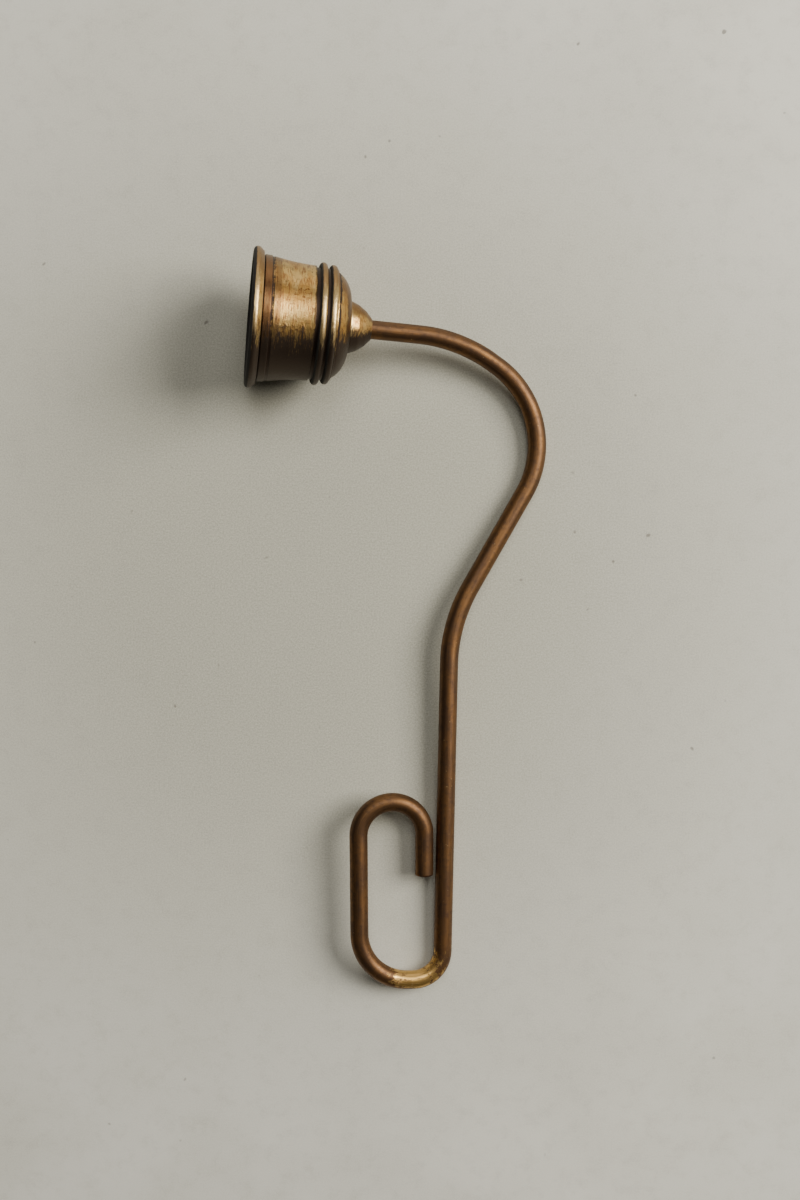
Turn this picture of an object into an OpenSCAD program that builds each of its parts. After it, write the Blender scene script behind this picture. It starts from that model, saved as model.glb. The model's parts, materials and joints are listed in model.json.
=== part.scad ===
/* [Overall] */
// diameter over the bell's rounded lip
bell_d = 36.2; // [30:0.2:44]
// depth of the bell from its lip to the top of its crown
bell_depth = 26; // [21.6:0.2:31.2]
// diameter of the round bar the handle is bent from
rod_d = 5; // [4:0.1:6]
// length of the handle's straight shaft
shaft_l = 79; // [62:1:100]

/* [Handle bow] */
// straight run of bar out of the collar
lead_l = 12.9; // [10:0.1:20]
// radius of the wide bend over the bow
wide_r = 41; // [30:0.5:55]
// angle of the wide bend
wide_a = 30; // [20:1:45]
// short straight run between the wide bend and the close one
link_l = 1.5; // [1:0.1:4]
// radius of the close bend at the bow's bulge
bulge_r = 25.5; // [18:0.5:32]
// angle of the close bend
bulge_a = 85.5; // [65:0.5:95]
// straight run slanting back from the bulge
slant_l = 29.2; // [18:0.1:38]
// radius of the easy bend into the shaft
ease_r = 43.4; // [25:0.5:60]
// angle of the easy bend into the shaft
ease_a = 29; // [15:1:40]
// how much wider the bar is where it has been bent
bend_swell = 0.06; // [0.04:0.01:0.1]

/* [Hanging loop] */
// distance between the centre lines of the shaft and the loop's far side
loop_w = 23.1; // [18:0.1:30]
// length of the loop's straight far side
loop_side_l = 26.8; // [18:0.1:34]
// length of the straight tail the bar ends in
tail_l = 11.4; // [6:0.1:14]
// gap between the end of the tail and the shaft
tail_gap = 0.6; // [0.3:0.1:2]

/* [Bell] */
// width of the lip along the bell
lip_w = 2.75; // [2.45:0.05:3.3]
// radius of the lip's rounded front edge
lip_round = 1.1; // [0.8:0.1:1.3]
// waist diameter as a share of the lip diameter
waist_share = 0.816; // [0.74:0.004:0.86]
// radius of the hollow flare between lip and waist
flare_r = 58; // [40:1:90]
// depth of the straight land just inside the mouth
land_depth = 3.5; // [2:0.1:5]
// thickness of the bell's wall
wall = 1.4; // [1.1:0.1:1.8]
// thickness of the bell's crown
crown_h = 3; // [2:0.1:4]
// radius of the domed shoulder
shoulder_r = 8; // [7.2:0.1:12]

/* [Collar] */
// diameter of the collar where it sits on the bell
collar_d = 13.8; // [11:0.1:16]
// height of the collar
collar_h = 6; // [5:0.1:7.4]
// radius of the collar's dome
collar_r = 11; // [8:0.5:16]
// depth the bar goes into the collar
socket_depth = 3; // [2:0.1:4]

/* [Fixing] */
// diameter of the stud turned on the end of the bar
stud_d = 3.9; // [3:0.1:4.8]
// width across the flats of the fixing nut
nut_af = 7; // [5.8:0.1:8.4]
// height of the fixing nut
nut_h = 3.2; // [2.4:0.1:4]
// diameter of the flat washer
washer_d = 9; // [7.5:0.1:10.5]
// thickness of the flat washer
washer_t = 0.8; // [0.6:0.1:1.2]
// thickness of the spring washer
spring_t = 0.9; // [0.7:0.1:1.2]
// width of the slit in the spring washer
slit_w = 0.8; // [0.5:0.1:1.2]
// clearance around the stud in the holes it passes
hole_gap = 0.15; // [0.05:0.05:0.3]

/* [Hidden] */
// round outlines and turned bodies
fine = 96;
bar_fine = 48;
// how far each straight run reaches into the wider bends beside it
lap = 0.3;
rod_r = rod_d / 2;
bend_rr = rod_r + bend_swell / 2;

// bell: radii, and heights above the lip
lip_r = bell_d / 2;
lip_back_r = lip_r - 1.1;
waist_r = lip_r * waist_share;
barrel_r = lip_r - 1.85;
quirk = 0.4;
ring_w = bell_depth * 0.07;
ring_t = lip_w + 0.3;
flare_t = ring_t + ring_w + 0.75;
waist_t = bell_depth * 0.629;
groove_w = bell_depth * 0.0325;
bead_tube = bell_depth * 0.0375;
bead_a_t = waist_t + groove_w + bead_tube;
bead_b_t = bead_a_t + 2 * bead_tube + bell_depth * 0.027;
shoulder_t = bead_b_t + bead_tube + 0.3;
core_r = waist_r - 0.45;
bead_a_r = waist_r + 1;
bead_b_r = waist_r + 0.6;
shoulder_in_r = core_r - 0.5;
crown_r = collar_d / 2 + 0.3;
mouth_r = barrel_r - wall;
mouth_bevel = 0.75;
chamber_r = core_r - wall;
chamber_bevel = 3.2;
crown_t = bell_depth - crown_h;

// fixing, along the same line
stud_r = stud_d / 2;
hole_r = stud_r + hole_gap;
nut_gap = 0.05;
stud_out = 1.4;
washer_top = crown_t;
spring_top = washer_top - washer_t;
nut_top = spring_top - spring_t;
stud_end_t = nut_top - nut_h - stud_out;
stud_bevel = 0.4;
collar_top = bell_depth + collar_h;
shoulder_of_bar = collar_top - socket_depth;
socket_r = rod_r + 0.05;
collar_tip_r = rod_r + 0.3;

// hanging loop: both corners and the end arc follow from the loop's width
near_a = 91;
far_a = 87.5;
end_a = 180.5;
near_r = loop_w * 0.34;
far_r = loop_w * 0.59;
h_side = -90 - near_a - far_a;
h_tail = h_side - end_a;
h_foot = -90 - near_a;
foot_l = (loop_w - near_r * (1 + sin(h_foot)) - far_r * (sin(h_side) - sin(h_foot))) / -cos(h_foot);
end_r = (loop_w - loop_side_l * cos(h_side) - rod_d - tail_gap - tail_l * cos(h_tail)) / (sin(h_side) - sin(h_tail));

// bends in order: straight run before the bend, its radius, its angle (left is plus)
bends = [
  [lead_l, wide_r, -wide_a],
  [link_l, bulge_r, -bulge_a],
  [slant_l, ease_r, ease_a],
  [shaft_l, near_r, -near_a],
  [foot_l, far_r, -far_a],
  [loop_side_l, end_r, -end_a],
  [tail_l, 0, 0]
];
// direction of the bell's axis that leaves the shaft along Y
head = -90 + wide_a + bulge_a - ease_a;

// where run i of the bar starts: x, y and direction
function along(p, d) = [p[0] + d * cos(p[2]), p[1] + d * sin(p[2]), p[2]];
function bent(p, r, a) = let (c = bend_middle(p, r, a), s = sign(a), h = p[2] + a)
  [c[0] + s * r * sin(h), c[1] - s * r * cos(h), h];
function bend_middle(p, r, a) = [p[0] - sign(a) * r * sin(p[2]), p[1] + sign(a) * r * cos(p[2])];
function run_start(i) = i == 0 ? [0, 0, head]
  : let (b = bends[i - 1]) bent(along(run_start(i - 1), b[0]), b[1], b[2]);
function middle(i) = bend_middle(along(run_start(i), bends[i][0]), bends[i][1], bends[i][2]);

// rest on the ground: the bow's bulge, the loop's near corner and the bell touch it
axis = [cos(head), sin(head)];
function on_line(t) = [-(collar_top - t) * axis[0], -(collar_top - t) * axis[1]];
bulge_at = middle(1);
corner_at = middle(3);
between = [bulge_at[0] - corner_at[0], bulge_at[1] - corner_at[1]];
down_a = atan2(between[1], between[0]) - acos((near_r - bulge_r) / norm(between));
down = [cos(down_a), sin(down_a)];
line = bulge_at * down + bulge_r;
lean = axis * down;
// sine of the tilt at which a round edge of the bell comes down on the ground
function settle(t, r, tube) = let (
  run = line - on_line(t) * down, ring = r - tube, rise = bend_rr - tube,
  q = run * run + ring * ring * lean * lean)
  (-rise * run + sqrt(rise * rise * run * run + q * (ring * ring - rise * rise))) / q;
sin_tilt = max(settle(lip_round, lip_r, lip_round), settle(bead_a_t, bead_a_r, bead_tube),
  settle(bead_b_t, bead_b_r, bead_tube));
tilt = asin(sin_tilt);

// the same turn as the one that lays the object down, for finding its box
hinge = [-down[1], down[0]];
function laid(p) = let (d = p * down - line, u = line + d * cos(tilt), v = p * hinge)
  [u * down[0] + v * hinge[0], u * down[1] + v * hinge[1], bend_rr - d * sin_tilt];
level = [sin_tilt * down[0], sin_tilt * down[1], cos(tilt)];
axis_laid = laid(axis) - laid([0, 0]);
function spread(n, k) = sqrt(1 - n[k] * n[k]);
lip_laid = laid(on_line(lip_round));
x_low = lip_laid[0] - (lip_r - lip_round) * spread(axis_laid, 0) - lip_round;
y_high = lip_laid[1] + (lip_r - lip_round) * spread(axis_laid, 1) + lip_round;
x_high = laid(bulge_at)[0] + bulge_r * spread(level, 0) + bend_rr;
y_low = laid(corner_at)[1] - near_r * spread(level, 1) - bend_rr;
shift_x = (x_low + x_high) / 2;
shift_y = (y_low + y_high) / 2;

// lays the flat drawing down on the ground and centres it
module lay_down() {
  translate([-shift_x, -shift_y, bend_rr])
    translate([line * down[0], line * down[1], 0])
      rotate([0, 0, down_a]) rotate([0, tilt, 0]) rotate([0, 0, -down_a])
        translate([-line * down[0], -line * down[1], 0])
          rotate([0, 0, head]) children();
}

// the common axis of bell, collar and fixing: height t above the lip becomes distance along the bar
module on_axis() {
  lay_down() translate([-collar_top, 0, 0]) rotate([0, 90, 0]) children();
}

// middle of a circle of radius r through two points, on the left of the way from p to q
function ring_middle(p, q, r) = let (d = q - p, l = norm(d), k = sqrt(r * r - l * l / 4) / l)
  [(p[0] + q[0]) / 2 - k * d[1], (p[1] + q[1]) / 2 + k * d[0]];

// bell outline: x is the radius, y the height above the lip
module lip_outline() {
  nose = [lip_r - lip_round, lip_round];
  run = [lip_back_r, lip_w] - nose;
  // where the lip's sloping back leaves its rounded front edge
  leave = atan2(run[1], run[0]) - acos(lip_round / norm(run));
  translate(nose) circle(r = lip_round, $fn = fine);
  polygon([[0, 0], [nose[0], 0], nose + lip_round * [cos(leave), sin(leave)], [lip_back_r, lip_w], [0, lip_w]]);
}

module barrel_outline() {
  // floor under the quirks, then the plain ring between them
  translate([0, lip_w / 2]) square([barrel_r - quirk, flare_t - lip_w / 2 + 0.1]);
  polygon([[0, ring_t], [barrel_r, ring_t], [barrel_r - 0.1, ring_t + ring_w], [0, ring_t + ring_w]]);
  // hollow flare
  low = [barrel_r - 0.3, flare_t];
  high = [waist_r, waist_t];
  difference() {
    translate([0, flare_t]) square([barrel_r + 0.5, waist_t - flare_t]);
    translate(ring_middle(high, low, flare_r)) circle(r = flare_r, $fn = 4 * fine);
  }
}

module bead_outline() {
  translate([0, waist_t - 0.5]) square([core_r, shoulder_t - waist_t + 0.5]);
  translate([bead_a_r - bead_tube, bead_a_t]) circle(r = bead_tube, $fn = fine);
  translate([bead_b_r - bead_tube, bead_b_t]) circle(r = bead_tube, $fn = fine);
}

module shoulder_outline() {
  low = [shoulder_in_r, shoulder_t];
  high = [crown_r, bell_depth];
  m = ring_middle(low, high, shoulder_r);
  intersection() {
    translate([0, shoulder_t - 0.2]) square([waist_r, bell_depth - shoulder_t + 0.2]);
    union() {
      translate(m) circle(r = shoulder_r, $fn = fine);
      square([m[0], bell_depth + 1]);
    }
  }
}

module chamber_outline() {
  polygon([
    [-1, -1], [mouth_r + mouth_bevel + 1, -1], [mouth_r, mouth_bevel], [mouth_r, mouth_bevel + land_depth],
    [chamber_r, waist_t], [chamber_r, crown_t - chamber_bevel], [chamber_r - chamber_bevel, crown_t], [-1, crown_t]
  ]);
}

// turned brass cup: lip, flare, two beads, domed crown with the stud hole
module bell() {
  color("darkgoldenrod") on_axis() rotate_extrude($fn = fine) difference() {
    union() {
      lip_outline();
      barrel_outline();
      bead_outline();
      shoulder_outline();
    }
    chamber_outline();
    translate([-1, 0]) square([hole_r + 1, bell_depth + 1]);
  }
}

// domed collar between the bell's crown and the bar
module neck_collar() {
  base = [collar_d / 2, bell_depth];
  tip = [collar_tip_r, collar_top];
  m = ring_middle(base, tip, collar_r);
  color("goldenrod") on_axis() rotate_extrude($fn = fine) difference() {
    intersection() {
      translate([0, bell_depth]) square([collar_d, collar_h]);
      union() {
        translate(m) circle(r = collar_r, $fn = fine);
        translate([0, bell_depth - 1]) square([max(m[0], collar_tip_r / 2), collar_h + 2]);
      }
    }
    translate([-1, bell_depth - 1]) square([hole_r + 1, collar_h + 2]);
    translate([-1, shoulder_of_bar]) square([socket_r + 1, collar_h]);
  }
}

// one bent bar: run i, its bend, and everything after it
module run(i) {
  l = bends[i][0];
  r = bends[i][1];
  a = bends[i][2];
  before = i == 0 ? socket_depth : lap;
  after = r > 0 ? lap : 0;
  translate([-before, 0, 0]) rotate([0, 90, 0]) cylinder(r = rod_r, h = l + before + after, $fn = bar_fine);
  if (r > 0) translate([l, sign(a) * r, 0]) {
    rotate([0, 0, a > 0 ? -90 : 90 + a])
      rotate_extrude(angle = abs(a), $fn = fine) translate([r, 0]) circle(r = bend_rr, $fn = bar_fine);
    rotate([0, 0, a]) translate([0, -sign(a) * r, 0]) run(i + 1);
  }
}

// handle: the bar with its bow, shaft and loop, and the stud turned on its end
module handle_rod() {
  color("saddlebrown") {
    lay_down() run(0);
    on_axis() {
      translate([0, 0, stud_end_t + stud_bevel])
        cylinder(r = stud_r, h = shoulder_of_bar - stud_end_t - stud_bevel + 0.5, $fn = bar_fine);
      translate([0, 0, stud_end_t])
        cylinder(r1 = stud_r - stud_bevel, r2 = stud_r, h = stud_bevel, $fn = bar_fine);
    }
  }
}

module flat_washer() {
  color("silver") on_axis() translate([0, 0, washer_top - washer_t]) difference() {
    cylinder(r = washer_d / 2, h = washer_t, $fn = fine);
    translate([0, 0, -1]) cylinder(r = hole_r, h = washer_t + 2, $fn = fine);
  }
}

// split ring squeezed flat under the nut
module spring_washer() {
  color("dimgray") on_axis() translate([0, 0, spring_top - spring_t]) difference() {
    cylinder(r = nut_af / 2, h = spring_t, $fn = fine);
    translate([0, 0, -1]) cylinder(r = hole_r, h = spring_t + 2, $fn = fine);
    translate([0, 0, spring_t / 2]) rotate([25, 0, 0])
      translate([0, -slit_w / 2, -2]) cube([nut_af, slit_w, 4]);
  }
}

// hexagon nut with its corners bevelled
module fixing_nut() {
  corner_r = nut_af / sqrt(3);
  bevel_h = (corner_r - nut_af / 2) * tan(30);
  color("silver") on_axis() translate([0, 0, nut_top - nut_h]) difference() {
    intersection() {
      cylinder(r = corner_r, h = nut_h, $fn = 6);
      union() {
        cylinder(r1 = nut_af / 2, r2 = nut_af / 2 + 2 * (corner_r - nut_af / 2), h = 2 * bevel_h, $fn = fine);
        translate([0, 0, 1.5 * bevel_h]) cylinder(r = corner_r + 1, h = nut_h, $fn = fine);
      }
    }
    translate([0, 0, -1]) cylinder(r = stud_r + nut_gap, h = nut_h + 2, $fn = fine);
  }
}

bell();
neck_collar();
handle_rod();
flat_washer();
spring_washer();
fixing_nut();
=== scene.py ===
import json
from math import atan2, ceil, cos, hypot, pi, radians, sin, sqrt, tan

import bpy
from mathutils import Matrix, Vector


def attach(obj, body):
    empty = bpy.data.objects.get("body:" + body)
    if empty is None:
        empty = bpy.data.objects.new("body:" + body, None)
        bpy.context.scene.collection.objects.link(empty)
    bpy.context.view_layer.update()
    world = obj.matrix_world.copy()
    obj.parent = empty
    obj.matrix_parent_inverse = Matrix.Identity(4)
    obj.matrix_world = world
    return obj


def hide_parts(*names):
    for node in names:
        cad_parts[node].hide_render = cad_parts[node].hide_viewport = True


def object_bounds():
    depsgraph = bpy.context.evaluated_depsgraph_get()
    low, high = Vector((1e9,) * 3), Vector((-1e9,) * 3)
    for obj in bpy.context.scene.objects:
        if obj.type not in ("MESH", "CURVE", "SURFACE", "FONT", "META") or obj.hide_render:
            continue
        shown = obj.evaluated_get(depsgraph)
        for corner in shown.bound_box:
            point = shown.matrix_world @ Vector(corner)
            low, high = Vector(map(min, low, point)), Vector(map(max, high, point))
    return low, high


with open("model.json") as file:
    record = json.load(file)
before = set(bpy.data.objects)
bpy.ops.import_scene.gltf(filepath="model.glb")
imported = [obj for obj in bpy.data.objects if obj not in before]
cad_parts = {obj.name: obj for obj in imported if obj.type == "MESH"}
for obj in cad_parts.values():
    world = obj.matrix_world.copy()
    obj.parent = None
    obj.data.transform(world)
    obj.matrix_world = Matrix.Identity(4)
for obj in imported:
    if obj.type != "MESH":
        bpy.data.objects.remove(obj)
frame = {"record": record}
cad_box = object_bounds()
mm = 0.001


# ---------------------------------------------------------------------------------------------
# Camera
# A camera on a stand over the table, looking almost straight down at the snuffer as it lies.
# The long side of the picture takes in about 330 mm of the table.

lens = bpy.data.cameras.new("camera")
lens.sensor_width = 36.0
lens.lens = 39.0
lens.clip_start = 0.01
camera = bpy.data.objects.new("camera", lens)
camera.location = (21.33 * mm, 19.89 * mm, 356.05 * mm)
camera.rotation_mode = "ZXY"
camera.rotation_euler = (radians(-1.988), radians(3.089), radians(1.025))
bpy.context.scene.collection.objects.link(camera)
bpy.context.scene.camera = camera


# ---------------------------------------------------------------------------------------------
# Light
# A room with a window at the right of the table, a skylight over its far side and a pale wall
# behind it. The rest of the room is dim.

def softbox(name, towards, distance, width, height, power, colour):
    """A soft rectangular light that faces the middle of the table."""
    shape = bpy.data.lights.new(name, "AREA")
    shape.shape = "RECTANGLE"
    shape.size = width
    shape.size_y = height
    shape.energy = power
    shape.color = colour
    box = bpy.data.objects.new(name, shape)
    box.location = Vector(towards).normalized() * distance
    box.rotation_mode = "QUATERNION"
    box.rotation_quaternion = Vector(towards).to_track_quat("Z", "Y")
    bpy.context.scene.collection.objects.link(box)


softbox("window", (1.0, 0.36, 0.84), 1.1, 0.62, 0.58, 15.5, (1.0, 0.95, 0.86))
softbox("skylight", (0.08, 0.50, 1.0), 1.0, 0.50, 0.60, 3.1, (1.0, 0.98, 0.94))
softbox("far wall", (0.0, 1.0, 0.22), 0.9, 0.8, 0.36, 1.4, (1.0, 0.93, 0.84))

room = bpy.data.worlds.new("room")
room.use_nodes = True
room_light = room.node_tree.nodes["Background"]
room_light.inputs["Color"].default_value = (1.0, 0.90, 0.76, 1.0)
room_light.inputs["Strength"].default_value = 0.03
bpy.context.scene.world = room


# ---------------------------------------------------------------------------------------------
# Table top
# A plain pale board with a fine mottled grain and a few small dark specks, with painted shade round the
# place where the snuffer lies that fades away from it. It is not part of the object.

def node(tree, kind, feeds, **settings):
    """Adds a node. feeds gives inputs by name or number: a value, or the output that drives it."""
    new = tree.nodes.new(kind)
    for key, value in settings.items():
        setattr(new, key, value)
    for key, value in feeds.items():
        if isinstance(value, bpy.types.NodeSocket):
            tree.links.new(value, new.inputs[key])
        elif new.inputs[key].type == "RGBA":
            new.inputs[key].default_value = (*value, 1.0)
        else:
            new.inputs[key].default_value = value
    return new


class Finish:
    """A surface finish: a material whose tone, shine and relief are built up in layers."""

    def __init__(self, name):
        self.material = bpy.data.materials.new(name)
        self.material.use_nodes = True
        self.tree = self.material.node_tree
        self.shader = self.tree.nodes["Principled BSDF"]
        self.place = node(self.tree, "ShaderNodeTexCoord", {}).outputs["Object"]

    def attribute(self, name, output="Fac"):
        """A value or a vector that the mesh carries."""
        return node(self.tree, "ShaderNodeAttribute", {}, attribute_name=name).outputs[output]

    def maths(self, operation, first, second):
        """One sum on two values."""
        return node(self.tree, "ShaderNodeMath", {0: first, 1: second}, operation=operation).outputs[0]

    def noise(self, size, detail=3.0, rough=0.55):
        """Cloudy variation from 0 to 1, in patches about size metres wide."""
        feeds = {"Vector": self.place, "Scale": 1 / size, "Detail": detail, "Roughness": rough}
        return node(self.tree, "ShaderNodeTexNoise", feeds).outputs["Fac"]

    def drawn_out(self, vector, scales, detail=3.0, rough=0.6):
        """Variation from 0 to 1 that is scaled apart along the three parts of a vector."""
        spread = node(self.tree, "ShaderNodeVectorMath", {0: vector, 1: scales}, operation="MULTIPLY")
        feeds = {"Vector": spread.outputs[0], "Scale": 1.0, "Detail": detail, "Roughness": rough}
        return node(self.tree, "ShaderNodeTexNoise", feeds).outputs["Fac"]

    def fade(self, value, low, high, most=1.0):
        """0 where value is at low, most where it is at high, and a soft change between them."""
        feeds = {"Value": value, "From Min": low, "From Max": high, "To Max": most}
        faded = node(self.tree, "ShaderNodeMapRange", feeds, interpolation_type="SMOOTHSTEP")
        return faded.outputs["Result"]

    def ragged(self, value, *edges):
        """The value with some of each (variation, amount) pair added, to break up its edge."""
        for variation, amount in edges:
            swing = self.maths("MULTIPLY", self.maths("SUBTRACT", variation, 0.5), amount)
            value = self.maths("ADD", value, swing)
        return value

    def tint(self, amount, under, over):
        """The colour over laid on the colour under."""
        feeds = {0: amount, 6: under, 7: over}
        return node(self.tree, "ShaderNodeMix", feeds, data_type="RGBA").outputs[2]

    def relief(self, *layers):
        """Bumps from (height, depth in metres) layers."""
        normal = None
        for heights, depth in layers:
            feeds = {"Height": heights, "Distance": depth, "Strength": 1.0}
            if normal:
                feeds["Normal"] = normal
            normal = node(self.tree, "ShaderNodeBump", feeds).outputs["Normal"]
        self.tree.links.new(normal, self.shader.inputs["Normal"])

    def set(self, **channels):
        """Drives or sets the shader's inputs, with _ for a space in the name."""
        for key, value in channels.items():
            socket = self.shader.inputs[key.replace("_", " ")]
            if isinstance(value, bpy.types.NodeSocket):
                self.tree.links.new(value, socket)
            else:
                socket.default_value = value


def board():
    """Pale grey board: cloudy tone, painted shade round the middle, fine grain, sparse specks."""
    finish = Finish("board")
    painted_shade_middle = (-0.02, 0.02, 0.0)
    clouds = finish.noise(0.045, 4.0)
    grain = finish.noise(0.00045, 5.0, 0.9)
    mottle = finish.noise(0.006, 5.0, 0.75)
    specks = finish.noise(0.0042, 1.0)
    away = node(finish.tree, "ShaderNodeVectorMath", {0: finish.place, 1: painted_shade_middle},
                operation="DISTANCE").outputs["Value"]
    away = finish.ragged(away, (clouds, 0.05))
    # painted shade: the board is darker round the middle, where the snuffer lies, and paler further out
    tone = finish.tint(finish.fade(away, 0.04, 0.18), (0.44, 0.434, 0.345), (0.82, 0.815, 0.74))
    tone = finish.tint(finish.fade(clouds, 0.35, 0.70, 0.3), tone, (0.45, 0.442, 0.345))
    tone = finish.tint(finish.fade(mottle, 0.45, 0.72, 0.22), tone, (0.36, 0.35, 0.29))
    tone = finish.tint(finish.fade(grain, 0.38, 0.62, 0.45), tone, (0.90, 0.89, 0.80))
    tone = finish.tint(finish.fade(specks, 0.77, 0.82, 0.7), tone, (0.20, 0.18, 0.15))
    finish.set(Base_Color=tone, Roughness=0.85, Specular_IOR_Level=0.2)
    finish.relief((grain, 0.00002))
    return finish.material


half = 2.5
ground = cad_box[0].z
sheet = bpy.data.meshes.new("table_top")
corners = [(-half, -half, ground), (half, -half, ground), (half, half, ground), (-half, half, ground)]
sheet.from_pydata(corners, [], [(0, 1, 2, 3)])
sheet.materials.append(board())
table_top = bpy.data.objects.new("table_top", sheet)
bpy.context.scene.collection.objects.link(table_top)


# ---------------------------------------------------------------------------------------------
# Bell
# The cup that is lowered over a candle's flame: cast brass, turned on a lathe, with a rounded
# lip, a hollow flare, two beads and a domed crown. Its stud hole is in the middle of the crown.
# Outlines are in millimetres: distance from the axis, then height above the lip.

def arc(middle, radius, start, end, steps):
    """Points round middle from angle start to angle end; 0 is straight out, 90 towards the crown."""
    turns = [radians(start + (end - start) * i / steps) for i in range(steps + 1)]
    return [(middle[0] + radius * cos(a), middle[1] + radius * sin(a)) for a in turns]


def bow(p, q, radius, steps):
    """An arc from p to q. Its middle is on the left of the way, or on the right if radius is below 0."""
    run = (q[0] - p[0], q[1] - p[1])
    length = hypot(*run)
    off = sqrt(radius ** 2 - length ** 2 / 4) / length * (1 if radius > 0 else -1)
    middle = ((p[0] + q[0]) / 2 - run[1] * off, (p[1] + q[1]) / 2 + run[0] * off)
    start = atan2(p[1] - middle[1], p[0] - middle[0])
    sweep = atan2(q[1] - middle[1], q[0] - middle[0]) - start
    sweep = (sweep + pi) % (2 * pi) - pi
    angles = [start + sweep * i / steps for i in range(steps + 1)]
    return [(middle[0] + abs(radius) * cos(a), middle[1] + abs(radius) * sin(a)) for a in angles]


def eased(outline, cut):
    """The closed outline with its sharp corners rounded, each from cut away along both its sides."""
    gentle = radians(22)
    smooth = []
    for i, corner in enumerate(outline):
        here = Vector(corner)
        before = Vector(outline[i - 1]) - here
        after = Vector(outline[(i + 1) % len(outline)]) - here
        if before.length < 1e-6 or after.length < 1e-6:
            continue
        if pi - before.angle(after) < gentle:
            smooth.append(here)
            continue
        a = here + before.normalized() * min(cut, before.length * 0.45)
        b = here + after.normalized() * min(cut, after.length * 0.45)
        for share in (0, 0.25, 0.5, 0.75, 1):
            smooth.append(a.lerp(here, share).lerp(here.lerp(b, share), share))
    return smooth


def stepped(outline, step):
    """The closed outline with no two neighbouring points more than step apart."""
    points = []
    for i, p in enumerate(outline):
        q = outline[(i + 1) % len(outline)]
        count = max(1, ceil((q - p).length / step))
        points += [p.lerp(q, k / count) for k in range(count)]
    return points


def standing_out(points, reach):
    """How far each point stands out from the outline within reach of it; below 0 in a hollow."""
    count = len(points)
    out = []
    for i, p in enumerate(points):
        near = []
        for side in (1, -1):
            gone, k = 0.0, i
            while gone < reach:
                gone += (points[(k + side) % count] - points[k % count]).length
                k += side
                near.append(points[k % count])
        out.append((p - sum(near, Vector((0, 0))) / len(near)).dot(outward(points, i)))
    return out


def outward(points, i):
    """The way that an anticlockwise outline faces at point i."""
    along = points[(i + 1) % len(points)] - points[i - 1]
    return Vector((along.y, -along.x)).normalized()


def soot_and_lip_shade_at(way, height):
    """How far an outline that faces a way, at a height above the lip, is blackened: soot on the
    hollow's wall and the crown's underside, and painted shade on the front of the lip."""
    crown_underside = -way.y if height > 5.0 else 0.0
    # painted shade: the lip's front is blackened as if sooted
    lip_front_shade = -1.4 * way.y if height < 1.0 else 0.0
    return max(-way.x, crown_underside, lip_front_shade)


def turned(name, outline, turns, step, slit=0.0, shape=None):
    """A solid turned from a closed anticlockwise outline round the bell's axis. slit is the angle
    left open in a split ring, and shape(angle, r, t) gives a trimmed radius. The mesh carries its
    place on the lathe, how far it stands out, how much it is blackened by soot and by painted shade
    on the lip's front, and its height."""
    reach = 1.3
    points = stepped(outline, step)
    out = standing_out(points, reach)
    rows = len(points)
    rounds = turns + 1 if slit else turns
    coords, lathe = [], []
    for i in range(rounds):
        angle = slit / 2 + (2 * pi - slit) * i / turns
        walked = 0.0
        for k, p in enumerate(points):
            r = shape(angle, p.x, p.y) if shape else p.x
            coords.append((r * cos(angle) * mm, r * sin(angle) * mm, p.y * mm))
            walked += (p - points[k - 1]).length if k else 0.0
            lathe += [cos(angle), sin(angle), walked * mm]
    faces = []
    for i in range(turns):
        a, b = i * rows, (i + 1) % rounds * rows
        faces += [(a + k, b + k, b + (k + 1) % rows, a + (k + 1) % rows) for k in range(rows)]
    if slit:
        faces += [tuple(range(rows)), tuple(reversed(range(turns * rows, rounds * rows)))]
    mesh = bpy.data.meshes.new(name)
    mesh.from_pydata(coords, [], faces)
    mesh.attributes.new("lathe", "FLOAT_VECTOR", "POINT").data.foreach_set("vector", lathe)
    carried = {"standing_out": out,
               "soot_and_lip_shade_mask": [soot_and_lip_shade_at(outward(points, i), p.y) for i, p in enumerate(points)],
               "height": [p.y for p in points]}
    for label, values in carried.items():
        mesh.attributes.new(label, "FLOAT", "POINT").data.foreach_set("value", values * rounds)
    mesh.transform(stand)
    return piece(name, mesh)


def piece(name, mesh):
    """Smooth-shades a finished mesh with crisp corners and puts it in the scene."""
    crisp = radians(40)
    mesh.shade_smooth()
    mesh.set_sharp_from_angle(angle=crisp)
    made = bpy.data.objects.new(name, mesh)
    bpy.context.scene.collection.objects.link(made)
    return made


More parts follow.
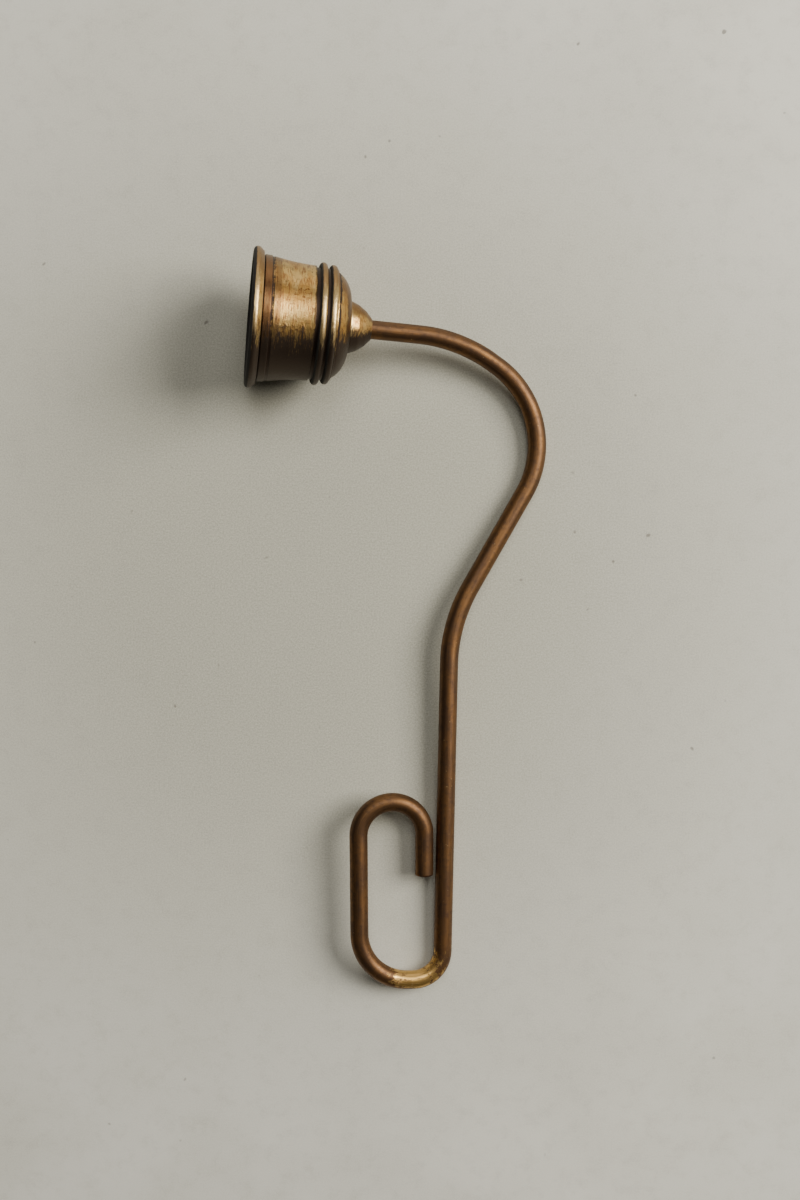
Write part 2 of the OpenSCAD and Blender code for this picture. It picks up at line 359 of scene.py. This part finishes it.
def aged_brass(name, gold, grime=1.0, patina=1.0, soot=0.0, stains=()):
    """Turned brass: lathe marks, red-brown freckles, dirt in the hollows, rubbed edges, painted shade
    on one side and a painted brown dark reflection on the far side, as strong as patina says, soot
    where the flame reaches with painted shade on the lip's front, and stains, each in a band of
    heights: (low, high, ragged edge, amount, colour)."""
    finish = Finish(name)
    lathe = finish.attribute("lathe", "Vector")
    out = finish.attribute("standing_out")
    height = finish.attribute("height")
    marks = finish.drawn_out(lathe, (3.0, 3.0, 5200.0))
    streaks = finish.drawn_out(lathe, (6.0, 6.0, 3000.0))
    bands = finish.drawn_out(lathe, (1.3, 1.3, 700.0))
    blotches = finish.noise(0.0058, 4.0, 0.6)
    freckles = finish.noise(0.0008, 3.0, 0.6)
    crumbs = finish.noise(0.0024, 5.0, 0.7)

    shade = (gold[0] * 0.80, gold[1] * 0.66, gold[2] * 0.50)
    cloudy = finish.fade(finish.ragged(blotches, (bands, 0.8)), 0.34, 0.66)
    tone = finish.tint(cloudy, gold, shade)
    tone = finish.tint(finish.fade(streaks, 0.50, 0.64, 0.85), tone, (0.24, 0.11, 0.042))
    freckled = finish.maths("MULTIPLY", finish.fade(freckles, 0.55, 0.66, 0.8),
                            finish.fade(blotches, 0.40, 0.62))
    tone = finish.tint(freckled, tone, (0.15, 0.055, 0.022))
    rubbed = finish.fade(finish.ragged(out, (crumbs, 0.25), (bands, 0.2)), 0.12, 0.34, 0.7)
    tone = finish.tint(rubbed, tone, (0.76, 0.57, 0.28))

    for low, high, edge, amount, colour in stains:
        wavy = finish.ragged(height, (crumbs, edge * 3), (streaks, edge))
        stained = finish.maths("MULTIPLY", finish.fade(wavy, low, low + edge),
                               finish.fade(wavy, high, high - edge, amount))
        tone = finish.tint(stained, tone, colour)

    side = node(finish.tree, "ShaderNodeSeparateXYZ", {0: lathe}).outputs[1]
    # Painted dark reflection: off the barrel, the far side (lathe y below -0.36) is painted brown; patina
    # sets how strong.
    barrel = finish.maths("MULTIPLY", finish.fade(height, 4.8, 5.6), finish.fade(height, 17.0, 16.4))
    far_side_shade = finish.ragged(side, (crumbs, 0.25), (streaks, 0.3))
    far_side_shade = finish.fade(far_side_shade, -0.36, -0.62, 0.8 * patina)
    far_side_shade = finish.maths("MULTIPLY", far_side_shade, finish.maths("SUBTRACT", 1.0, barrel))
    tone = finish.tint(far_side_shade, tone, (0.20, 0.105, 0.045))
    # Painted shade: one whole side of the piece (lathe y above 0.1) is painted near-black brown, ragged
    # at its edge; patina sets how strong.
    dark_side_shade = finish.ragged(side, (crumbs, 0.3), (streaks, 0.9), (bands, 0.6))
    dark_side_shade = finish.fade(dark_side_shade, 0.10, 0.50, patina)
    tone = finish.tint(dark_side_shade, tone, (0.050, 0.034, 0.024))
    dirt = finish.fade(finish.ragged(out, (crumbs, -0.42), (streaks, 0.25)), -0.03, -0.13, grime)
    tone = finish.tint(dirt, tone, (0.040, 0.024, 0.016))
    # dirt, soot and the painted shade also make the metal duller, rougher and less metallic
    dull_dirt_soot_and_shade = finish.maths("MAXIMUM", dirt, dark_side_shade)
    metal = finish.maths("SUBTRACT", 1.0, finish.maths("MULTIPLY", dull_dirt_soot_and_shade, 0.25))
    if soot:
        # near-black: soot inside the bell and under the crown, and painted shade on the lip's front
        soot_and_lip_shade = finish.ragged(finish.attribute("soot_and_lip_shade_mask"), (crumbs, 0.5))
        soot_and_lip_shade = finish.fade(soot_and_lip_shade, 0.30, 0.62, soot)
        tone = finish.tint(soot_and_lip_shade, tone, (0.016, 0.014, 0.012))
        dull_dirt_soot_and_shade = finish.maths("MAXIMUM", dull_dirt_soot_and_shade, soot_and_lip_shade)
        metal = finish.maths("MULTIPLY", metal, finish.fade(soot_and_lip_shade, 0.9, 0.4))
    rough = finish.maths("ADD", 0.34, finish.maths("MULTIPLY", dull_dirt_soot_and_shade, 0.12))
    rough = finish.ragged(rough, (blotches, 0.16), (streaks, 0.14))
    if soot:
        rough = finish.maths("ADD", rough, finish.maths("MULTIPLY", soot_and_lip_shade, 0.35))
    finish.set(Base_Color=tone, Metallic=metal, Roughness=rough)
    finish.relief((marks, 0.000014), (freckles, 0.000045), (dull_dirt_soot_and_shade, 0.00004))
    return finish.material


mounts = {m["name"]: m for m in frame["record"]["mounts"]}
to_crown = -Vector(mounts["bell_mouth"]["axis"]).normalized()
land = (0.75, 4.25)
lip_at = Vector(mounts["bell_mouth"]["pos_m"]) - to_crown * (land[0] + land[1]) / 2 * mm
upward = Vector(mounts["hanging_loop"]["axis"]).normalized()
stand = Matrix((upward, to_crown.cross(upward), to_crown)).transposed().to_4x4()
stand.translation = lip_at

bell_depth = 26.0
lip_r, lip_back_r, lip_w, lip_round = 18.1, 17.0, 2.75, 1.1
lip_front_turn = 41.8
ring_r, ring_low, ring_high = 16.25, 3.05, 4.87
quirk_r = ring_r - 0.4
flare_low, waist, flare_bow = (ring_r - 0.3, 5.62), (14.7696, 16.354), -58.0
groove_r = waist[0] - 0.45
bead_r, bead_a, bead_b = 0.975, (14.7946, 18.174), (14.3946, 20.826)
shoulder_low, shoulder_high, shoulder_bow = (13.8196, 22.101), (7.2, bell_depth), 8.0
mouth_r, chamber_r, crown_under, crown_slope = 14.85, 12.9196, 23.0, 3.2
hole_r = 2.1


def bead(middle):
    """A round bead that stands on the groove's floor."""
    foot = atan2(sqrt(bead_r ** 2 - (groove_r - middle[0]) ** 2), groove_r - middle[0]) * 180 / pi
    return arc(middle, bead_r, -foot, foot, 16)


outline = [(hole_r, bell_depth), (hole_r, crown_under), (chamber_r - crown_slope, crown_under)]
outline += [(chamber_r, crown_under - crown_slope), (chamber_r, waist[1])]
outline += [(mouth_r, land[1]), (mouth_r, land[0]), (mouth_r + land[0], 0.0)]
outline += arc((lip_r - lip_round, lip_round), lip_round, -90, lip_front_turn, 14)
outline += [(lip_back_r, lip_w), (quirk_r, lip_w), (quirk_r, ring_low), (ring_r, ring_low)]
outline += [(ring_r - 0.1, ring_high), (quirk_r, ring_high), (quirk_r, flare_low[1])]
outline += bow(flare_low, waist, flare_bow, 24) + [(groove_r, waist[1])]
outline += bead(bead_a) + bead(bead_b) + [(groove_r, shoulder_low[1])]
outline += bow(shoulder_low, shoulder_high, shoulder_bow, 18)

bell = turned("bell_turned", eased(outline, 0.16), turns=224, step=0.3)
ring_stain = (2.75, 5.2, 0.25, 0.85, (0.13, 0.060, 0.031))
barrel_foot_stain = (5.3, 7.6, 0.6, 0.60, (0.13, 0.062, 0.030))
groove_stain = (15.7, 17.3, 0.5, 0.9, (0.050, 0.028, 0.018))
shoulder_stain = (24.2, 27.0, 0.5, 0.85, (0.11, 0.055, 0.028))
# the bell carries the full painted side shade, and soot inside with painted shade on the lip's front
bell.data.materials.append(aged_brass(
    "turned bell brass", (0.62, 0.42, 0.155), soot=1.0,
    stains=(ring_stain, barrel_foot_stain, groove_stain, shoulder_stain)))
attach(bell, "root")
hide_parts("bell")


# ---------------------------------------------------------------------------------------------
# Collar
# The domed brass collar that covers the joint between crown and bar. It is turned by hand, so
# its dome is three narrow flats, and the bar's end sits in a socket in its top.

collar_top = bell_depth + 6.0
collar_low_r, collar_high_r, collar_bow, collar_flats = 6.9, 2.8, 11.0, 3
socket_r, socket_bottom = 2.55, collar_top - 3.0
outline = [(hole_r, bell_depth)]
outline += bow((collar_low_r, bell_depth), (collar_high_r, collar_top), collar_bow, collar_flats)
outline += [(socket_r, collar_top), (socket_r, socket_bottom), (hole_r, socket_bottom)]

collar = turned("neck_collar_turned", eased(outline, 0.22), turns=160, step=0.25)
# the collar carries the same painted shade on its sides as the bell
collar.data.materials.append(aged_brass("turned collar brass", (0.62, 0.41, 0.155)))
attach(collar, "root")
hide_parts("neck_collar")


# ---------------------------------------------------------------------------------------------
# Handle
# One length of 5 mm round brass bar, drawn, bent cold into the bow, the shaft and the flattened
# hanging loop, and turned down to a threaded stud at the end that goes through the bell.
# Its finish is a brown patina, rubbed bright at the foot of the loop.

bar_r, stud_r, root_r = 2.5, 1.95, 1.6
stud_end, thread_end = 16.7, 23.2
stud_tip, thread_runout, step_edge = 0.35, 0.25, 0.1
# a cold bend leaves the bar a hair thicker
swell = 0.03

# the loop's corners and end arc follow from its width, as the bends are made one after another
loop_w, loop_side, tail, tail_gap = 23.1, 26.8, 11.4, 0.6
near_a, far_a, end_a = 91.0, 87.5, 180.5
near_r, far_r = loop_w * 0.34, loop_w * 0.59
foot_way = radians(-90 - near_a)
side_way = foot_way - radians(far_a)
tail_way = side_way - radians(end_a)
foot = (near_r * (1 + sin(foot_way)) + far_r * (sin(side_way) - sin(foot_way)) - loop_w) / cos(foot_way)
end_r = (loop_w - loop_side * cos(side_way) - 2 * bar_r - tail_gap - tail * cos(tail_way))
end_r /= sin(side_way) - sin(tail_way)

# straight run before each bend, the bend's radius, and its angle, to the left when above nought
bends = [(12.9, 41.0, -30.0), (1.5, 25.5, -85.5), (29.2, 43.4, 29.0), (79.0, near_r, -near_a),
         (foot, far_r, -far_a), (loop_side, end_r, -end_a), (tail, 0.0, 0.0)]


def bar_route(step):
    """Points along the middle of the bar from its threaded end, each with the bar's radius there."""
    here, way = lip_at + to_crown * stud_end * mm, to_crown.copy()
    route = []

    def straight(length, radius):
        nonlocal here
        count = max(1, ceil(length / step))
        for i in range(count):
            route.append((here + way * (length * mm * i / count), radius))
        here = here + way * length * mm

    for length, radius in ((stud_tip, root_r - 0.3), (thread_end - stud_end - stud_tip, root_r),
                           (thread_runout, root_r), (socket_bottom - thread_end - thread_runout, stud_r),
                           (step_edge, stud_r), (step_edge, bar_r - step_edge),
                           (collar_top - socket_bottom - 2 * step_edge, bar_r)):
        straight(length, radius)
    for length, radius, angle in bends:
        straight(length, bar_r)
        if radius == 0:
            continue
        count = ceil(radius * radians(abs(angle)) / step)
        middle = here + upward.cross(way) * (radius * mm if angle > 0 else -radius * mm)
        for i in range(count):
            spin = Matrix.Rotation(radians(angle) * i / count, 3, upward)
            share = min(1.0, 4.0 * min(i, count - i) / count)
            route.append((middle + spin @ (here - middle), bar_r + swell * share))
        spin = Matrix.Rotation(radians(angle), 3, upward)
        here, way = middle + spin @ (here - middle), spin @ way
    # the sawn end of the tail, with its edge filed round
    route += [(here - way * 0.25 * mm, bar_r), (here - way * 0.06 * mm, bar_r - 0.12)]
    route += [(here, bar_r - 0.35)]
    return route


def geometry_tree(name, inputs):
    """An empty geometry tree with the named inputs, (kind, name) pairs, and a geometry output."""
    tree = bpy.data.node_groups.new(name, "GeometryNodeTree")
    tree.interface.new_socket("Geometry", in_out="INPUT", socket_type="NodeSocketGeometry")
    for kind, label in inputs:
        tree.interface.new_socket(label, in_out="INPUT", socket_type="NodeSocket" + kind)
    tree.interface.new_socket("Geometry", in_out="OUTPUT", socket_type="NodeSocketGeometry")
    return tree, tree.nodes.new("NodeGroupInput").outputs


def finish_tree(tree, geometry, surface):
    """Ends a geometry tree: real geometry, its material, and the output."""
    real = node(tree, "GeometryNodeRealizeInstances", {0: geometry}).outputs[0]
    done = node(tree, "GeometryNodeSetMaterial", {"Geometry": real, "Material": surface}).outputs[0]
    node(tree, "NodeGroupOutput", {0: done})


def grown(name, start, tree, values):
    """The plain mesh that a geometry tree makes from a start mesh, with its inputs set by name."""
    seed = bpy.data.objects.new(name + "_start", start)
    bpy.context.scene.collection.objects.link(seed)
    modifier = seed.modifiers.new(name, "NODES")
    modifier.node_group = tree
    for item in tree.interface.items_tree:
        if item.item_type == "SOCKET" and item.in_out == "INPUT" and item.name in values:
            modifier[item.identifier] = values[item.name]
    graph = bpy.context.evaluated_depsgraph_get()
    mesh = bpy.data.meshes.new_from_object(seed.evaluated_get(graph), preserve_all_data_layers=True,
                                           depsgraph=graph)
    mesh.name = name
    seed.modifiers.remove(modifier)
    bpy.data.objects.remove(seed)
    return piece(name, mesh)


def bent_bar_tree():
    """Sweeps a round bar along a route that carries its radius, dents it a little, and marks each
    point with its place on the bar as it was before bending."""
    tree, given = geometry_tree("bent_bar", (
        ("Int", "Sides"), ("Float", "Dent Depth"), ("Float", "Dent Size"), ("Float", "Seed"),
        ("Material", "Finish")))

    def carried(label, kind):
        """A value that the points already carry."""
        return node(tree, "GeometryNodeInputNamedAttribute", {"Name": label}, data_type=kind).outputs[0]

    def carrying(geometry, label, kind, value):
        """The geometry, with a value added to its points."""
        feeds = {"Geometry": geometry, "Name": label, "Value": value}
        stored = node(tree, "GeometryNodeStoreNamedAttribute", feeds, data_type=kind, domain="POINT")
        return stored.outputs[0]

    curve = node(tree, "GeometryNodeMeshToCurve", {"Mesh": given["Geometry"]}).outputs[0]
    length = node(tree, "GeometryNodeSplineParameter", {}).outputs["Length"]
    curve = carrying(curve, "along", "FLOAT", length)
    circle = {"Resolution": given["Sides"], "Radius": 1.0}
    ring = node(tree, "GeometryNodeCurvePrimitiveCircle", circle).outputs[0]
    place = node(tree, "GeometryNodeInputPosition", {}).outputs[0]
    ring = carrying(ring, "round", "FLOAT_VECTOR", place)
    sweep = {"Curve": curve, "Profile Curve": ring, "Scale": carried("bar_radius", "FLOAT"),
             "Fill Caps": True}
    bar = node(tree, "GeometryNodeCurveToMesh", sweep).outputs[0]

    parts = node(tree, "ShaderNodeSeparateXYZ", {0: carried("round", "FLOAT_VECTOR")}).outputs
    before = {0: parts[0], 1: parts[1], 2: carried("along", "FLOAT")}
    before = node(tree, "ShaderNodeCombineXYZ", before).outputs[0]
    bar = carrying(bar, "before_bending", "FLOAT_VECTOR", before)

    finer = node(tree, "ShaderNodeMath", {0: 1.0, 1: given["Dent Size"]}, operation="DIVIDE").outputs[0]
    dents = {"Vector": place, "W": given["Seed"], "Scale": finer, "Detail": 2.0}
    dents = node(tree, "ShaderNodeTexNoise", dents, noise_dimensions="4D").outputs["Fac"]
    deep = {0: dents, 1: given["Dent Depth"]}
    deep = node(tree, "ShaderNodeMath", deep, operation="MULTIPLY").outputs[0]
    inward = node(tree, "ShaderNodeMath", {0: deep, 1: -1.0}, operation="MULTIPLY").outputs[0]
    facing = node(tree, "GeometryNodeInputNormal", {}).outputs[0]
    push = node(tree, "ShaderNodeVectorMath", {0: facing, "Scale": inward}, operation="SCALE").outputs[0]
    bar = node(tree, "GeometryNodeSetPosition", {"Geometry": bar, "Offset": push}).outputs[0]
    finish_tree(tree, bar, given["Finish"])
    return tree


def brown_bar(worn_at):
    """Brown patina on drawn bar: lengthwise draw marks, warm and dark clouds, small worn specks,
    and bare brass at the foot of the loop, where the snuffer is hung and stood."""
    finish = Finish("brown bar patina")
    before = finish.attribute("before_bending", "Vector")
    draw_marks = finish.drawn_out(before, (9.0, 9.0, 90.0))
    clouds = finish.drawn_out(before, (1.1, 1.1, 110.0), 4.0)
    mottle = finish.noise(0.0016, 4.0, 0.65)
    specks = finish.noise(0.0007, 2.0, 0.5)
    tone = finish.tint(finish.fade(clouds, 0.35, 0.65), (0.195, 0.098, 0.038), (0.120, 0.066, 0.036))
    tone = finish.tint(finish.fade(mottle, 0.45, 0.70, 0.7), tone, (0.078, 0.046, 0.031))
    tone = finish.tint(finish.fade(draw_marks, 0.50, 0.75, 0.45), tone, (0.28, 0.150, 0.060))
    tone = finish.tint(finish.fade(specks, 0.72, 0.80, 0.8), tone, (0.55, 0.38, 0.18))
    apart = node(finish.tree, "ShaderNodeVectorMath", {0: finish.place, 1: worn_at},
                 operation="DISTANCE").outputs["Value"]
    worn = finish.fade(finish.ragged(apart, (mottle, 0.018), (draw_marks, 0.010)), 0.0066, 0.0042)
    tone = finish.tint(worn, tone, (0.66, 0.41, 0.13))
    rough = finish.maths("SUBTRACT", 0.47, finish.maths("MULTIPLY", worn, 0.14))
    rough = finish.ragged(rough, (mottle, 0.20), (draw_marks, 0.08))
    finish.set(Base_Color=tone, Metallic=0.88, Roughness=rough)
    finish.relief((draw_marks, 0.00001), (mottle, 0.00003), (finish.fade(worn, 0.0, 1.0), -0.00003))
    return finish.material


route = bar_route(0.6)
start = bpy.data.meshes.new("bar_route")
start.from_pydata([p for p, r in route], [(i, i + 1) for i in range(len(route) - 1)], [])
start.attributes.new("bar_radius", "FLOAT", "POINT").data.foreach_set("value", [r * mm for p, r in route])
loop_foot = min((p for p, r in route), key=lambda p: p.y)
worn_inner_side = Vector((1.2, 3.2, 2.0)) * mm
bar_finish = brown_bar(loop_foot + worn_inner_side)
bar = grown("handle_bar", start, bent_bar_tree(), {
    "Sides": 56, "Dent Depth": 0.07 * mm, "Dent Size": 6 * mm, "Seed": 3.0, "Finish": bar_finish})
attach(bar, "root")
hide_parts("handle_rod")


# ---------------------------------------------------------------------------------------------
# Stud thread
# The M4 thread that is cut on the end of the bar, and that the nut inside the bell runs on: a
# sharp ridge of 0.7 mm pitch wound round the stud.

def thread_tree():
    """Winds a three-sided ridge round the axis."""
    tree, given = geometry_tree("thread", (
        ("Float", "Pitch"), ("Float", "Turns"), ("Float", "Root Radius"), ("Float", "Ridge"),
        ("Material", "Finish")))
    rise = node(tree, "ShaderNodeMath", {0: given["Pitch"], 1: given["Turns"]},
                operation="MULTIPLY").outputs[0]
    helix = node(tree, "GeometryNodeCurveSpiral", {
        "Resolution": 40, "Rotations": given["Turns"], "Start Radius": given["Root Radius"],
        "End Radius": given["Root Radius"], "Height": rise}).outputs[0]
    helix = node(tree, "GeometryNodeSetCurveNormal", {"Curve": helix}, mode="Z_UP").outputs[0]
    triangle = {"Resolution": 3, "Radius": given["Ridge"]}
    ridge = node(tree, "GeometryNodeCurvePrimitiveCircle", triangle).outputs[0]
    sweep = {"Curve": helix, "Profile Curve": ridge, "Fill Caps": True}
    wound = node(tree, "GeometryNodeCurveToMesh", sweep).outputs[0]
    finish_tree(tree, wound, given["Finish"])
    return tree


thread_start = stud_end + 0.45
thread = grown("stud_thread", bpy.data.meshes.new("thread_start"), thread_tree(), {
    "Pitch": 0.7 * mm, "Turns": 8.0, "Root Radius": (root_r - 0.02) * mm, "Ridge": 0.33 * mm,
    "Finish": bar_finish})
thread.data.transform(stand @ Matrix.Translation((0, 0, thread_start * mm)))
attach(thread, "root")
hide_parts("handle_rod")


# ---------------------------------------------------------------------------------------------
# Fixing
# What holds the bar in the bell, from the crown down: a flat brass washer, a split spring washer
# squeezed flat, and a hexagon brass nut. All three are dulled, because they sit over the flame.

washer_low, spring_low, nut_low = 22.2, 21.3, 18.1
washer_r, nut_flat = 4.5, 3.5
corner_r = nut_flat / cos(pi / 6)
spring_slit = 0.8


def hexagon(angle, r, t):
    """Trims a turned blank to the nut's six flats, and bevels the corners at its free end."""
    if r < nut_flat * 0.9:
        return r
    flat = nut_flat / cos((angle + pi / 6) % (pi / 3) - pi / 6)
    cone = nut_flat + max(0.0, t - nut_low) / tan(radians(30))
    return r - corner_r + min(flat, cone)


def spring_steel():
    """Blackened spring steel with a few rust freckles."""
    finish = Finish("blackened steel")
    patches = finish.noise(0.0012, 4.0, 0.6)
    tone = finish.tint(finish.fade(patches, 0.35, 0.65), (0.23, 0.22, 0.21), (0.12, 0.11, 0.105))
    tone = finish.tint(finish.fade(patches, 0.62, 0.72, 0.6), tone, (0.17, 0.07, 0.03))
    finish.set(Base_Color=tone, Metallic=1.0, Roughness=finish.fade(patches, 0.0, 1.0, 0.6))
    finish.relief((patches, 0.00004))
    return finish.material


def ring(inner, outer, low, high):
    """Outline of a flat ring."""
    return [(inner, low), (outer, low), (outer, high), (inner, high)]


# the washer and nut carry the painted side shade too, weaker, at patina 0.3
outline = eased(ring(hole_r, washer_r, washer_low, crown_under), 0.15)
washer = turned("flat_washer_pressed", outline, turns=96, step=0.3)
washer.data.materials.append(aged_brass("dull washer brass", (0.52, 0.40, 0.20), patina=0.3, grime=0.6))

outline = eased(ring(hole_r, nut_flat, spring_low, washer_low), 0.12)
spring = turned("spring_washer_split", outline, turns=96, step=0.3, slit=spring_slit / nut_flat)
spring.data.materials.append(spring_steel())

outline = eased(ring(stud_r + 0.05, corner_r, nut_low, spring_low), 0.08)
nut = turned("fixing_nut_hex", outline, turns=120, step=0.2, shape=hexagon)
nut.data.materials.append(aged_brass("dull nut brass", (0.56, 0.43, 0.21), patina=0.3, grime=0.6))

for part, stood_for, finish_slot in ((washer, "flat_washer", "washer_brass"),
                                     (spring, "spring_washer", "spring_steel"),
                                     (nut, "fixing_nut", "nut_brass")):
    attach(part, "root")
    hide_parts(stood_for)
